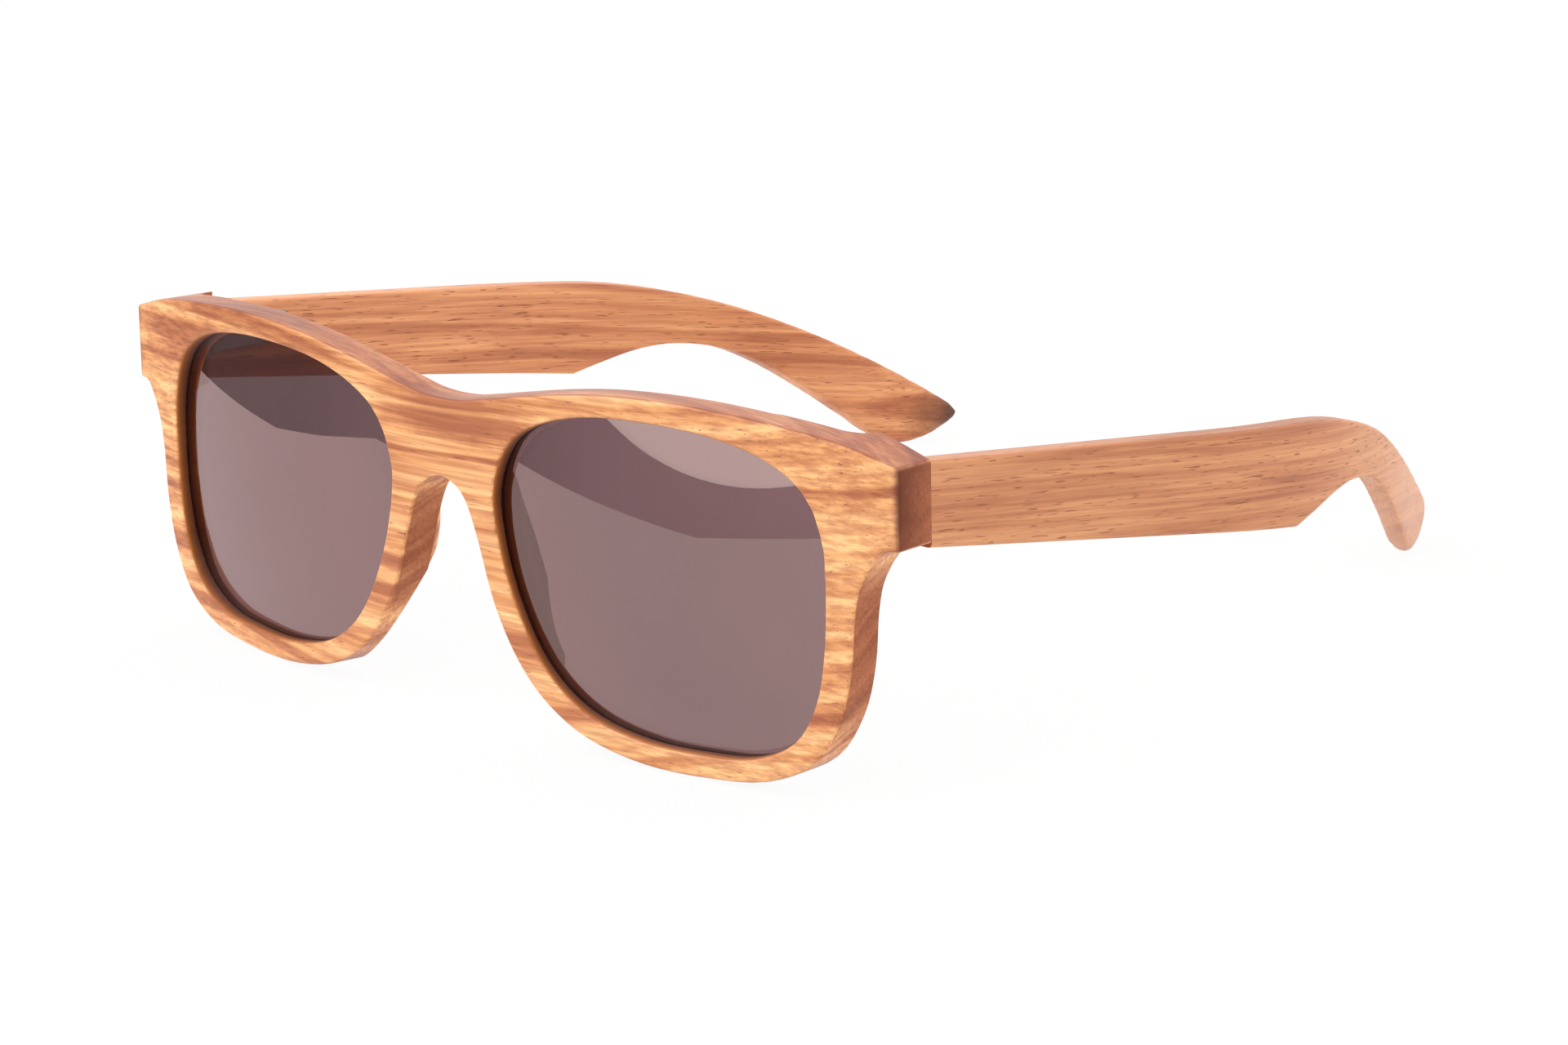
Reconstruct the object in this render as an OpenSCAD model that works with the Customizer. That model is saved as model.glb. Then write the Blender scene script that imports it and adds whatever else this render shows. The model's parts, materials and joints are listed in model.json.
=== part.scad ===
// Wooden sunglasses with bent front, tinted lenses, sprung hinges and paddle temples.
// Sizes are in millimetres. The glasses stand on the rims and the temple tips, +Z up,
// facing -Y, with +X to the wearer's left.

/* [Front] */
// Width of the front beside each lens, with the endpiece, along the curve
end_w = 10.5; // [10:0.1:13]
// Radius that the front is bent to
face_r = 333; // [250:1:450]
// Thickness of the rims
rim_t = 4.5; // [4.2:0.1:5.4]
// Thickness of the endpieces at their outer ends
endpiece_t = 6; // [5.6:0.1:7.5]
// Top of the bridge above the lens centres
bridge_top = 18.1; // [17:0.1:20]
// Highest point of the brow line above the lens centres
brow_top = 22.8; // [22:0.1:25]
// Top corner of the endpiece above the lens centres
end_top = 18.9; // [18:0.1:20.5]
// Bottom corner of the endpiece above the lens centres
end_low = 9; // [8:0.1:9.6]
// Top of the nose arch above the lens centres
nose_top = 8; // [7:0.1:9]
// Width of the rim below the lens
rim_low = 2.9; // [2.6:0.1:4]
// Width of the rim beside the temple
rim_side = 4.3; // [3.8:0.1:5]
// Width of the rim beside the nose
rim_nose = 4.1; // [3.6:0.1:4.6]

/* [Lenses] */
// Width of the lens opening
lens_w = 52.6; // [50:0.2:54]
// Height of the lens opening
lens_h = 39.5; // [37:0.2:41]
// Distance between the two lens openings
lens_gap = 19.6; // [18:0.2:22]
// Radius of the lens's outer surface
lens_r = 176; // [130:1:265]
// Thickness of the lens
lens_t = 1.8; // [1.4:0.1:2]
// Depth of the lens's middle below the curve of the front
lens_lip = 0.6; // [0.4:0.1:0.8]
// Depth of the groove that holds the lens edge
lens_seat = 0.9; // [0.6:0.1:1.2]

/* [Nose pads] */
// Height of a nose pad above the back of the rim
pad_h = 3.75; // [3:0.05:4.2]
// Radius of the pad along the rim
pad_along_r = 25; // [20:0.5:30]
// Distance of the pad's ridge inside the edge of the lens opening
pad_inset = 0.9; // [0.5:0.1:1.4]
// Radius of the pad across the rim
pad_across_r = 5; // [4:0.1:6]
// Width of the bevel on the rim below the pad
nose_bevel_w = 2.2; // [1:0.1:2.6]

/* [Temples] */
// Thickness of a temple
temple_t = 3.4; // [3.2:0.1:4.2]
// Height of a temple where it meets the front
temple_h = 10.4; // [9.6:0.1:11]
// Length of a temple along its curve
temple_l = 127.6; // [122:0.2:134]
// Slope of the upper edge
temple_slope = 6; // [4:0.5:8]
// Length of the straight stretch behind the hinge
temple_straight = 50; // [44:1:56]
// Radius of the inward bend
bend_r = 98; // [80:1:120]
// Angle of the inward bend
bend_angle = 28; // [20:1:30]
// Distance along the temple to the step in its lower edge
step_at = 66.8; // [62:0.2:70]
// Height of the temple at the step
step_h = 13.4; // [12:0.1:15]
// Distance along the temple where the upper edge starts to drop
drop_at = 67; // [60:1:74]
// Radius of the drop of the ear end
drop_r = 100; // [90:1:130]
// Gap between an open temple and its endpiece
butt_gap = 0.15; // [0.1:0.05:0.4]

/* [Hinges] */
// Radius of the knuckles
knuckle_r = 1.3; // [1.2:0.05:1.5]
// Height of the middle knuckle
knuckle_mid = 1.6; // [1.4:0.1:2.2]
// Height of the two outer knuckles
knuckle_end = 1.3; // [1:0.1:1.6]
// Radius of the pivot screw
pivot_r = 0.7; // [0.6:0.05:0.8]
// Thickness of the leaf on the endpiece
leaf_t = 0.8; // [0.6:0.1:1.2]
// Height of the leaf on the endpiece
leaf_h = 9; // [8.4:0.1:9.6]
// Height of the spring housing
housing_h = 4.4; // [4:0.1:5]
// Radius that the housing's back is crowned to
housing_crown = 2.75; // [2.6:0.05:3.2]
// Length of the spring housing
housing_l = 8.7; // [8.6:0.1:12]
// Depth of the housing sunk into the temple
housing_in = 1.2; // [0.9:0.1:1.4]
// Depth of the housing standing out of the temple
housing_out = 1.7; // [1.5:0.1:2]
// Length of the screw tab behind the housing
tab_l = 4.7; // [4.6:0.1:7]
// Radius of the spring bore
bore_r = 1.05; // [1:0.01:1.15]
// Radius of the slider's rod
rod_r = 0.5; // [0.45:0.01:0.55]
// Travel of the sprung slider
spring_travel = 1.5; // [1:0.1:2]
// Room left between the spring's turns at full travel
spring_spare = 2; // [1.6:0.1:3]
// Turns of the spring
spring_turns = 6; // [4:1:7]
// Radius of the spring's wire
wire_r = 0.14; // [0.1:0.01:0.16]
// Radius of the small screws' shanks
screw_r = 0.5; // [0.4:0.05:0.55]
// Radius of the small screws' heads
screw_head_r = 0.95; // [0.85:0.05:1.1]

/* [Clearances] */
// Radial running clearance of the pivot and the rod
run_gap = 0.03; // [0.02:0.005:0.05]
// Gap between faces that slide past each other
slide_gap = 0.08; // [0.05:0.01:0.15]
// Gap between the knuckles and the wood beside them
knuckle_gap = 0.25; // [0.2:0.05:0.4]
// Gap between a lens and its groove
lens_gap_fit = 0.05; // [0.03:0.01:0.1]

/* [Hidden] */
$fn = 64;
LEFT = 1;
RIGHT = -1;
DEGREES = 180 / PI;
// Room that cutters reach past what they cut
reach = 200;
// Points on each stretch of a smooth outline
curve_steps = 4;
wood = "#c98d58";
dark_wood = "#8a5a3a";
lens_tint = "#6f5a5c";
steel = "#b9b9b4";

// Places on the front
lens_x = (lens_gap + lens_w) / 2;
lens_wrap = asin(lens_x / face_r);
front_half = lens_gap / 2 + lens_w + end_w;
// Lens outline as shares of half its width and height, counterclockwise from the temple side
lens_shape = [
    [1, 0.02], [0.99, 0.42], [0.89, 0.72], [0.66, 0.9], [0.33, 0.985], [-0.05, 1],
    [-0.4, 0.965], [-0.7, 0.86], [-0.9, 0.69], [-1, 0.38], [-0.96, 0.02], [-0.87, -0.3],
    [-0.74, -0.59], [-0.58, -0.79], [-0.36, -0.93], [-0.05, -1], [0.28, -1], [0.58, -0.96],
    [0.82, -0.81], [0.94, -0.55], [0.985, -0.27]
];
// First point of that outline which the nose side of the rim follows
nose_first = 10;

// Places of the temple and hinge, for the wearer's left side
end_x = face_r * sin(front_half / face_r * DEGREES);
butt_y = face_y(end_x) + endpiece_t;
temple_x = end_x - endpiece_t * sin(lens_wrap);
temple_y = butt_y + butt_gap;
temple_in_x = temple_x - temple_t;
hinge_drop = 0.4;
hinge_z = (end_top + end_low) / 2 - hinge_drop;
pivot_x = temple_in_x - knuckle_r - knuckle_gap;
pivot_y = butt_y + knuckle_r + knuckle_gap;
knuckle_stack = knuckle_mid + 2 * (knuckle_end + slide_gap);
leaf_margin = 1.2;
leaf_x = pivot_x - knuckle_r - leaf_margin;
leaf_w = pivot_x + knuckle_r - leaf_x;
leaf_screw_z = (knuckle_stack + leaf_h) / 4;
endpiece_margin = 0.6;
endpiece_x = leaf_x - endpiece_margin;
endpiece_fillet = 4;
endpiece_low = hinge_z - leaf_h / 2 - endpiece_margin;
neck_room = 0.4;
housing_y = pivot_y + knuckle_r + neck_room;
rod_x = temple_in_x + (housing_in - housing_out) / 2;
collar_l = 1;
nut_l = 1;
bore_room = 0.3;
housing_wall = 0.6;
spring_l = 2 * wire_r * (spring_turns + 1) + spring_travel + spring_spare;
spring_r = (bore_r + rod_r) / 2;
spring_y = housing_y + collar_l + slide_gap;
nut_y = spring_y + spring_l + slide_gap;
bore_l = nut_y + nut_l + bore_room - housing_y;
housing_end = housing_y + max(housing_l, bore_l + housing_wall);
screw_cone = screw_head_r - screw_r;
leaf_screw_l = 4;
screw_cover = 0.7;
tab_screw_l = temple_t - screw_cover;
tab_screw_pitch = tab_l / 2;
pivot_head_r = knuckle_r - slide_gap;
pivot_head_h = 0.6;

// Lower edge of the ear end: distance from the tip as a share of the length behind the step, and
// height below the upper edge as a share of the height at the step
ear_l = temple_l - step_at;
ear_shape = [
    [0.914, 0.858], [0.816, 0.687], [0.717, 0.567], [0.602, 0.511], [0.487, 0.567], [0.355, 0.701],
    [0.24, 0.836], [0.183, 0.851], [0.125, 0.716], [0.054, 0.388], [0.013, 0.179], [0, 0.075]
];
// Where the upper edge stops short of the tip
tip_round = 0.5;
// The point of the tip that the glasses stand on
tip_foot = 7;

// Depth of the front's curved face at a distance from the middle
function face_y(x) = face_r - sqrt(face_r * face_r - x * x);

// Point on a smooth curve through b and c, with neighbours a and d
function spline_point(a, b, c, d, t) =
    0.5 * (2 * b + (c - a) * t + (2 * a - 5 * b + 4 * c - d) * t * t
        + (3 * b - a - 3 * c + d) * t * t * t);

// Smooth open curve through points
function smooth(points) = let (n = len(points) - 1)
    [for (i = [0:n - 1], k = [0:curve_steps - 1]) spline_point(points[max(i - 1, 0)], points[i],
        points[i + 1], points[min(i + 2, n)], k / curve_steps), points[n]];

// Smooth closed curve through points
function smooth_ring(points) = let (n = len(points))
    [for (i = [0:n - 1], k = [0:curve_steps - 1]) spline_point(points[(i + n - 1) % n], points[i],
        points[(i + 1) % n], points[(i + 2) % n], k / curve_steps)];

function backwards(points) = [for (i = [len(points) - 1:-1:0]) points[i]];

// A point of the lens outline, moved outwards by a distance
function lens_point(i, grow) = let (
    p = [lens_shape[i][0] * lens_w, lens_shape[i][1] * lens_h] / 2)
    [lens_x, 0] + p * (1 + grow / norm(p));

function lens_curve(grow) = smooth_ring([for (i = [0:len(lens_shape) - 1]) lens_point(i, grow)]);

// Width of the rim beside a point of the lens outline
function rim_width(i) = let (p = lens_shape[i] / norm(lens_shape[i]))
    rim_low * p[1] * p[1] + (p[0] > 0 ? rim_side : rim_nose) * p[0] * p[0];

// A point on the rim's outer edge, beside a point of the lens outline
function rim_point(i) = lens_point(i, rim_width(i));

// Half of the front's outline, from the middle over the brow to the endpiece and back under the rim
brow_rise = brow_top - bridge_top;
brow_line = smooth([
    [-0.204 * lens_gap, bridge_top + 0.042 * brow_rise], [0, bridge_top],
    [0.204 * lens_gap, bridge_top + 0.042 * brow_rise],
    [0.408 * lens_gap, bridge_top + 0.19 * brow_rise],
    [lens_x - 0.304 * lens_w, bridge_top + 0.66 * brow_rise],
    [lens_x - 0.114 * lens_w, bridge_top + 0.915 * brow_rise],
    [lens_x + 0.114 * lens_w, brow_top], [lens_x + 0.342 * lens_w, bridge_top + 0.872 * brow_rise],
    [front_half - 0.81 * end_w, 0.55 * brow_top + 0.45 * end_top], [front_half, end_top]
]);
rim_line = smooth(concat(
    [[front_half, end_low], [front_half - 0.248 * end_w, 0.944 * end_low],
     [lens_x + lens_w / 2 + 1.23 * rim_side, 0.511 * end_low]],
    [for (i = [len(lens_shape):-1:nose_first]) rim_point(i % len(lens_shape))],
    [[0.26 * lens_gap, 0.563 * nose_top], [0.189 * lens_gap, 0.813 * nose_top],
     [0.102 * lens_gap, 0.944 * nose_top], [0, nose_top], [-0.102 * lens_gap, 0.944 * nose_top]]
));
front_outline = concat(brow_line, rim_line);
// Middle and tilt of the nose pad, beside the lens
pad_middle = (lens_point(nose_first, -pad_inset) + lens_point(nose_first + 1, -pad_inset)) / 2;
pad_run = lens_point(nose_first - 1, 0) - lens_point(nose_first + 2, 0);
pad_tilt = atan2(pad_run[0], pad_run[1]);

// Edges of a temple's side view, above the middle of its front end
function upper_z(s) = temple_h / 2 - s * tan(temple_slope)
    - (s > drop_at ? drop_r * (1 - cos((s - drop_at) / drop_r * DEGREES)) : 0);

// Inward turn of a temple in plan at a distance along it, in degrees
function bend(s) = min(bend_angle, max(0, (s - temple_straight) / bend_r * DEGREES));
bend_l = bend_r * bend_angle / DEGREES;

// Plan of a temple: a point at a distance along it, inside its outer face
function plan(s, inside) = let (a = bend(s), past = max(0, s - temple_straight - bend_l))
    [temple_x - bend_r + (bend_r - inside) * cos(a) - past * sin(a),
     temple_y + min(s, temple_straight) + (bend_r - inside) * sin(a) + past * cos(a)];

plan_stops = concat([0, temple_straight], [for (k = [1:18]) temple_straight + bend_l * k / 18],
    [1.1 * temple_l]);
plan_band = concat([for (s = plan_stops) plan(s, 0)],
    [for (s = backwards(plan_stops)) plan(s, temple_t)]);
drop_l = temple_l - tip_round - drop_at;
upper_stops = concat([0, drop_at], [for (k = [1:16]) drop_at + drop_l * k / 16]);
upper_edge = [for (s = upper_stops) [plan(s, 0)[1], hinge_z + upper_z(s)]];
ear_edge = smooth(concat([[step_at, hinge_z + upper_z(step_at) - step_h]],
    [for (p = ear_shape) let (s = temple_l - p[0] * ear_l) [s, hinge_z + upper_z(s) - p[1] * step_h]]));
side_view = concat(upper_edge, [for (p = backwards(ear_edge)) [plan(p[0], 0)[1], p[1]]],
    [[temple_y, hinge_z - temple_h / 2]]);

// The lean that sets the rims and the temple tips on one level
foot_s = temple_l - tip_foot;
tip_low = [plan(foot_s, 0)[1], min([for (p = side_view) p[1]])];
rim_low_point = [face_y(lens_x) + rim_t, min([for (p = rim_line) p[1]])];
stand_lean = atan((tip_low[1] - rim_low_point[1]) / (tip_low[0] - rim_low_point[0]));
stand_lift = rim_low_point[0] * sin(stand_lean) - rim_low_point[1] * cos(stand_lean);
rear_end = max([for (p = side_view) p[0] * cos(stand_lean) + p[1] * sin(stand_lean)]);
front_end = min([for (p = front_outline) face_y(abs(p[0])) * cos(stand_lean) + p[1] * sin(stand_lean)]);

// Stands what is drawn in the front's own frame on the ground
module stand() {
    translate([0, -(front_end + rear_end) / 2, stand_lift]) rotate([-stand_lean, 0, 0]) children();
}

// Draws the wearer's left side, or its mirror image
module on_side(side) {
    stand() mirror([side == RIGHT ? 1 : 0, 0, 0]) children();
}

// Cuts an outline along the axis of the left lens
module along_lens_axis() {
    translate([lens_x, face_y(lens_x), 0]) rotate([0, 0, lens_wrap]) translate([-lens_x, 0, 0]) children();
}

module blank(outline) {
    along_lens_axis() rotate([90, 0, 0]) linear_extrude(height = reach, center = true) polygon(outline);
}

// Everything behind the curved face, starting at a depth
module behind_face(depth) {
    translate([0, face_r, 0]) cylinder(r = face_r - depth, h = reach, center = true, $fn = 1440);
}

// Block of the thick endpiece, with fillets into the rim beside and below it
module endpiece_block() {
    translate([endpiece_x, butt_y - reach, endpiece_low]) cube([reach, reach, reach]);
    difference() {
        translate([endpiece_x - endpiece_fillet, butt_y - reach, endpiece_low])
            cube([endpiece_fillet, reach, reach]);
        translate([endpiece_x - endpiece_fillet, butt_y, 0])
            cylinder(r = endpiece_fillet, h = reach, center = true);
    }
    difference() {
        translate([endpiece_x, butt_y - reach, endpiece_low - endpiece_fillet])
            cube([reach, reach, endpiece_fillet]);
        translate([endpiece_x, butt_y, endpiece_low - endpiece_fillet])
            rotate([0, 90, 0]) cylinder(r = endpiece_fillet, h = 3 * reach, center = true);
    }
}

// Spindle along +Z with arcs of one radius along it, and another radius across its middle
module spindle(along_r, across_r) {
    rotate_extrude($fn = 180) intersection() {
        translate([across_r - along_r, 0]) circle(r = along_r, $fn = 360);
        translate([0, -along_r]) square([across_r, 2 * along_r]);
    }
}

// Nose pad carved on the back of the left rim, as deep as the middle of the rim
module nose_pad() {
    ridge_y = face_y(pad_middle[0]) + rim_t + pad_h;
    intersection() {
        behind_face(rim_t / 2);
        translate([pad_middle[0], ridge_y - pad_across_r, pad_middle[1]])
            rotate([0, pad_tilt, 0]) spindle(pad_along_r, pad_across_r);
    }
}

// Everything past a slope that bevels the nose side of the rim, below the pad
module past_nose_bevel() {
    top = rim_point(nose_first + 1);
    run = lens_point(nose_first + 3, rim_width(nose_first + 3) - nose_bevel_w / 2) - top;
    translate([top[0], face_y(top[0]) + rim_t, top[1]]) rotate([0, atan2(run[0], run[1]), 0])
        rotate([0, 0, -45]) translate([-reach / 2, 0, -reach / 2]) cube([reach, reach / 2, reach]);
}

// A lens, or with a gap the groove that it snaps into
module lens_form(gap) {
    intersection() {
        blank(lens_curve(lens_seat + gap));
        along_lens_axis() difference() {
            translate([lens_x, lens_lip - gap + lens_r, 0]) sphere(r = lens_r, $fn = 240);
            translate([lens_x, lens_lip + lens_t + gap + lens_r, 0]) sphere(r = lens_r, $fn = 240);
        }
        translate([lens_x - lens_w, -reach / 8, -reach / 2]) cube([2 * lens_w, reach / 4, reach]);
    }
}

// A countersunk screw along +Z with its head's top at the origin, pointing down
module small_screw(length) {
    translate([0, 0, -screw_cone]) cylinder(r1 = screw_r, r2 = screw_head_r, h = screw_cone);
    translate([0, 0, -length]) cylinder(r = screw_r, h = length - screw_cone / 2);
}

module slotted_screw(length) {
    difference() {
        small_screw(length);
        translate([-screw_head_r - 1, -screw_head_r / 8, -screw_cone / 2])
            cube([2 * screw_head_r + 2, screw_head_r / 4, screw_cone]);
    }
}

// The places of the leaf's two screws, seen from behind
module at_leaf_screws() {
    for (end = [-1, 1])
        translate([leaf_x + leaf_w / 2, butt_y, hinge_z + end * leaf_screw_z])
            rotate([-90, 0, 0]) children();
}

// The places of the housing's two screws, seen from the inner side
module at_tab_screws() {
    for (k = [0, 1])
        translate([temple_in_x, housing_end + tab_screw_pitch * (k + 0.5), hinge_z])
            rotate([0, -90, 0]) children();
}

// A round bar along +Y, level with the hinge
module bar(x, y, r, length) {
    translate([x, y, hinge_z]) rotate([-90, 0, 0]) cylinder(r = r, h = length);
}

module leaf_plate() {
    translate([leaf_x, butt_y - leaf_t, hinge_z - leaf_h / 2]) cube([leaf_w, leaf_t, leaf_h]);
}

// Left half of the front with its nose pad, lens opening, lens groove and leaf recess
module front_left_half() {
    difference() {
        intersection() {
            blank(front_outline);
            union() {
                difference() {
                    behind_face(0);
                    behind_face(rim_t);
                }
                intersection() {
                    behind_face(0);
                    endpiece_block();
                }
                nose_pad();
            }
            translate([0, -reach / 4, -reach / 2]) cube([reach, reach / 2, reach]);
        }
        past_nose_bevel();
        blank(lens_curve(0));
        lens_form(lens_gap_fit);
        leaf_plate();
        at_leaf_screws() small_screw(leaf_screw_l);
    }
}

module frame_front() {
    color(wood) stand() {
        front_left_half();
        mirror([1, 0, 0]) front_left_half();
    }
}

module lens(side) {
    color(lens_tint) on_side(side) lens_form(0);
}

// Crowned barrel of the spring housing, and the round-ended tab behind it
module housing_envelope() {
    barrel_l = housing_end - housing_y;
    intersection() {
        translate([temple_in_x - housing_out, housing_y, hinge_z - housing_h / 2])
            cube([housing_out + housing_in, barrel_l, housing_h]);
        bar(temple_in_x - housing_out + housing_crown, housing_y - 1, housing_crown, barrel_l + 2);
    }
    translate([temple_in_x, housing_end, hinge_z - housing_h / 2])
        cube([housing_in, tab_l - housing_h / 2, housing_h]);
    translate([temple_in_x, housing_end + tab_l - housing_h / 2, hinge_z])
        rotate([0, 90, 0]) cylinder(r = housing_h / 2, h = housing_in);
}

module temple(side) {
    color(wood) on_side(side) difference() {
        intersection() {
            translate([0, 0, -reach / 2]) linear_extrude(height = reach) polygon(plan_band);
            rotate([90, 0, 90]) linear_extrude(height = reach) polygon(side_view);
        }
        housing_envelope();
        translate([temple_in_x - housing_out, butt_y - reach / 10, hinge_z - housing_h / 2])
            cube([housing_out + housing_in, housing_y - butt_y + reach / 10, housing_h]);
        at_tab_screws() small_screw(tab_screw_l);
    }
}

// Leaf let into the endpiece, with the two outer knuckles
module hinge_leaf(side) {
    color(steel) on_side(side) difference() {
        union() {
            leaf_plate();
            for (end = [-1, 1])
                translate([pivot_x, pivot_y, hinge_z + end * (knuckle_stack - knuckle_end) / 2]) {
                    cylinder(r = knuckle_r, h = knuckle_end, center = true);
                    translate([-knuckle_r, butt_y - pivot_y - leaf_t / 2, -knuckle_end / 2])
                        cube([2 * knuckle_r, pivot_y - butt_y + leaf_t / 2, knuckle_end]);
                }
        }
        translate([pivot_x, pivot_y, hinge_z]) cylinder(r = pivot_r + run_gap, h = reach, center = true);
        at_leaf_screws() small_screw(leaf_screw_l);
    }
}

module leaf_screws(side) {
    color(steel) on_side(side) at_leaf_screws() slotted_screw(leaf_screw_l);
}

module pivot_screw(side) {
    color(steel) on_side(side) translate([pivot_x, pivot_y, hinge_z]) difference() {
        union() {
            cylinder(r = pivot_r, h = knuckle_stack, center = true);
            translate([0, 0, knuckle_stack / 2]) cylinder(r = pivot_head_r, h = pivot_head_h);
        }
        translate([-pivot_head_r - 1, -pivot_head_r / 8, knuckle_stack / 2 + pivot_head_h / 2])
            cube([2 * pivot_head_r + 2, pivot_head_r / 4, pivot_head_h]);
    }
}

// Sprung slider: the middle knuckle, a neck and the rod that the spring draws in
module hinge_slider(side) {
    neck_l = housing_y - slide_gap - pivot_y;
    color(steel) on_side(side) difference() {
        union() {
            translate([pivot_x, pivot_y, hinge_z]) cylinder(r = knuckle_r, h = knuckle_mid, center = true);
            translate([pivot_x - knuckle_r * 0.7, pivot_y, hinge_z - knuckle_mid / 2])
                cube([rod_x + rod_r + knuckle_r * 0.7 - pivot_x, neck_l, knuckle_mid]);
            bar(rod_x, pivot_y + neck_l - 0.5, rod_r, nut_y + nut_l - pivot_y - neck_l + 0.5);
        }
        translate([pivot_x, pivot_y, hinge_z]) cylinder(r = pivot_r + run_gap, h = reach, center = true);
    }
}

module slider_nut(side) {
    color(steel) on_side(side) difference() {
        bar(rod_x, nut_y, bore_r - slide_gap, nut_l);
        bar(rod_x, nut_y - 1, rod_r, nut_l + 2);
    }
}

module stop_collar(side) {
    color(steel) on_side(side) difference() {
        bar(rod_x, housing_y, bore_r, collar_l);
        bar(rod_x, housing_y - 1, rod_r + run_gap, collar_l + 2);
    }
}

module spring_housing(side) {
    color(steel) on_side(side) difference() {
        housing_envelope();
        bar(rod_x, housing_y - 1, bore_r, bore_l + 1);
        at_tab_screws() small_screw(tab_screw_l);
    }
}

module housing_screws(side) {
    color(steel) on_side(side) at_tab_screws() slotted_screw(tab_screw_l);
}

// Coil of round wire along +Y, drawn as rings of wire joined by triangles
module coil(radius, wire, length, turns) {
    sides = 6;
    per_turn = 8;
    rings = turns * per_turn;
    rise = length - 2 * wire;
    lead = atan(rise / turns / (2 * PI * radius));
    points = [for (k = [0:rings], j = [0:sides - 1]) let (
            turn = 360 * k / per_turn, around = 360 * j / sides,
            out = radius + wire * cos(around), lean = wire * sin(around))
        [out * cos(turn) + lean * sin(turn) * sin(lead), wire + rise * k / rings + lean * cos(lead),
         -out * sin(turn) + lean * cos(turn) * sin(lead)]];
    walls = [for (k = [0:rings - 1], j = [0:sides - 1]) let (
            a = k * sides + j, b = k * sides + (j + 1) % sides)
        each [[a, b, a + sides], [b, b + sides, a + sides]]];
    caps = [for (j = [1:sides - 2]) each [[0, j + 1, j],
        [rings * sides, rings * sides + j, rings * sides + j + 1]]];
    polyhedron(points, concat(walls, caps));
}

module hinge_spring(side) {
    color(steel) on_side(side) translate([rod_x, spring_y, hinge_z])
        coil(spring_r, wire_r, spring_l, spring_turns);
}

frame_front();
lens(LEFT);  // lens_left
lens(RIGHT);  // lens_right
temple(LEFT);  // temple_left
temple(RIGHT);  // temple_right
hinge_leaf(LEFT);  // hinge_leaf_left
hinge_leaf(RIGHT);  // hinge_leaf_right
leaf_screws(LEFT);  // leaf_screws_left
leaf_screws(RIGHT);  // leaf_screws_right
pivot_screw(LEFT);  // pivot_screw_left
pivot_screw(RIGHT);  // pivot_screw_right
hinge_slider(LEFT);  // hinge_slider_left
hinge_slider(RIGHT);  // hinge_slider_right
slider_nut(LEFT);  // slider_nut_left
slider_nut(RIGHT);  // slider_nut_right
hinge_spring(LEFT);  // hinge_spring_left
hinge_spring(RIGHT);  // hinge_spring_right
stop_collar(LEFT);  // stop_collar_left
stop_collar(RIGHT);  // stop_collar_right
spring_housing(LEFT);  // spring_housing_left
spring_housing(RIGHT);  // spring_housing_right
housing_screws(LEFT);  // housing_screws_left
housing_screws(RIGHT);  // housing_screws_right
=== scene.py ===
"""Wooden sunglasses on their shared frame: streaked solid wood, smoke lenses and sprung steel hinges."""

import json
import logging
import math
from dataclasses import dataclass, field
from enum import Enum
from typing import Any, Callable, Iterable, Sequence

import bmesh
import bpy
import numpy as np
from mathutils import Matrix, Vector

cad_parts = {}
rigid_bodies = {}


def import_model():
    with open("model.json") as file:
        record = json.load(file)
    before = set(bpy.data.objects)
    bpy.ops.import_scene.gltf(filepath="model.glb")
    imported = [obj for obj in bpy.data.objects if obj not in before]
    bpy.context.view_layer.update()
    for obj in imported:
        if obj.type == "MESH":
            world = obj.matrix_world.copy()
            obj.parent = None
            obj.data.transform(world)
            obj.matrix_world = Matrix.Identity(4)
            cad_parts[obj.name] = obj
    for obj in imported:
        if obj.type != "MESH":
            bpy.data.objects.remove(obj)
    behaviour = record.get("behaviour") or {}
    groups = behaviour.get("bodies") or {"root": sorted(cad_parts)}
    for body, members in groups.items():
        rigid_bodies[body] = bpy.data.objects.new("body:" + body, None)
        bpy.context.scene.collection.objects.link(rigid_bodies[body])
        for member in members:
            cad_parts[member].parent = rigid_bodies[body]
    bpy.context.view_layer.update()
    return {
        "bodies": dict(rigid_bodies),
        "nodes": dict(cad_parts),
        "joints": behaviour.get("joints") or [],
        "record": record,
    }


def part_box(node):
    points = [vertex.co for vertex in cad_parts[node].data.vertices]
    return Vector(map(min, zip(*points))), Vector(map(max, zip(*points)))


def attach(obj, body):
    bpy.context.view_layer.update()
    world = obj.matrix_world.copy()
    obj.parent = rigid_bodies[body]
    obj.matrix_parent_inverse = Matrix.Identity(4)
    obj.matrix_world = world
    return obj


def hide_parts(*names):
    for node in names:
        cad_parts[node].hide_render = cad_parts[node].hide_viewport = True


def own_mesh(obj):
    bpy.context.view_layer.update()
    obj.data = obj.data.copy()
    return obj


LOG = logging.getLogger("sunglasses")
MM = 0.001
Colour = tuple[float, float, float]
Point = tuple[float, float, float]
Socket = bpy.types.NodeSocket

# Points closer than JOIN are one point, and edges shorter than SLIVER go.
JOIN = 0.002 * MM
SLIVER = 0.01 * MM
# A point within ON_FACE of a face counts as lying on it.
ON_FACE = 0.05 * MM
# Edges that turn by more than this many degrees are sharp.
SHARP = 35.0

# The tilt of the open glasses as they stand, and their own directions back along the temples and up.
LEAN = math.radians(2.53768)
BACKWARD = Vector((0.0, math.cos(LEAN), -math.sin(LEAN)))
UPWARD = Vector((0.0, math.sin(LEAN), math.cos(LEAN)))


class Side(Enum):
    """The wearer's two sides, with the sign of their X."""

    LEFT = 1
    RIGHT = -1

    @property
    def word(self) -> str:
        """The side's ending in node and body names."""
        return self.name.lower()


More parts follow.
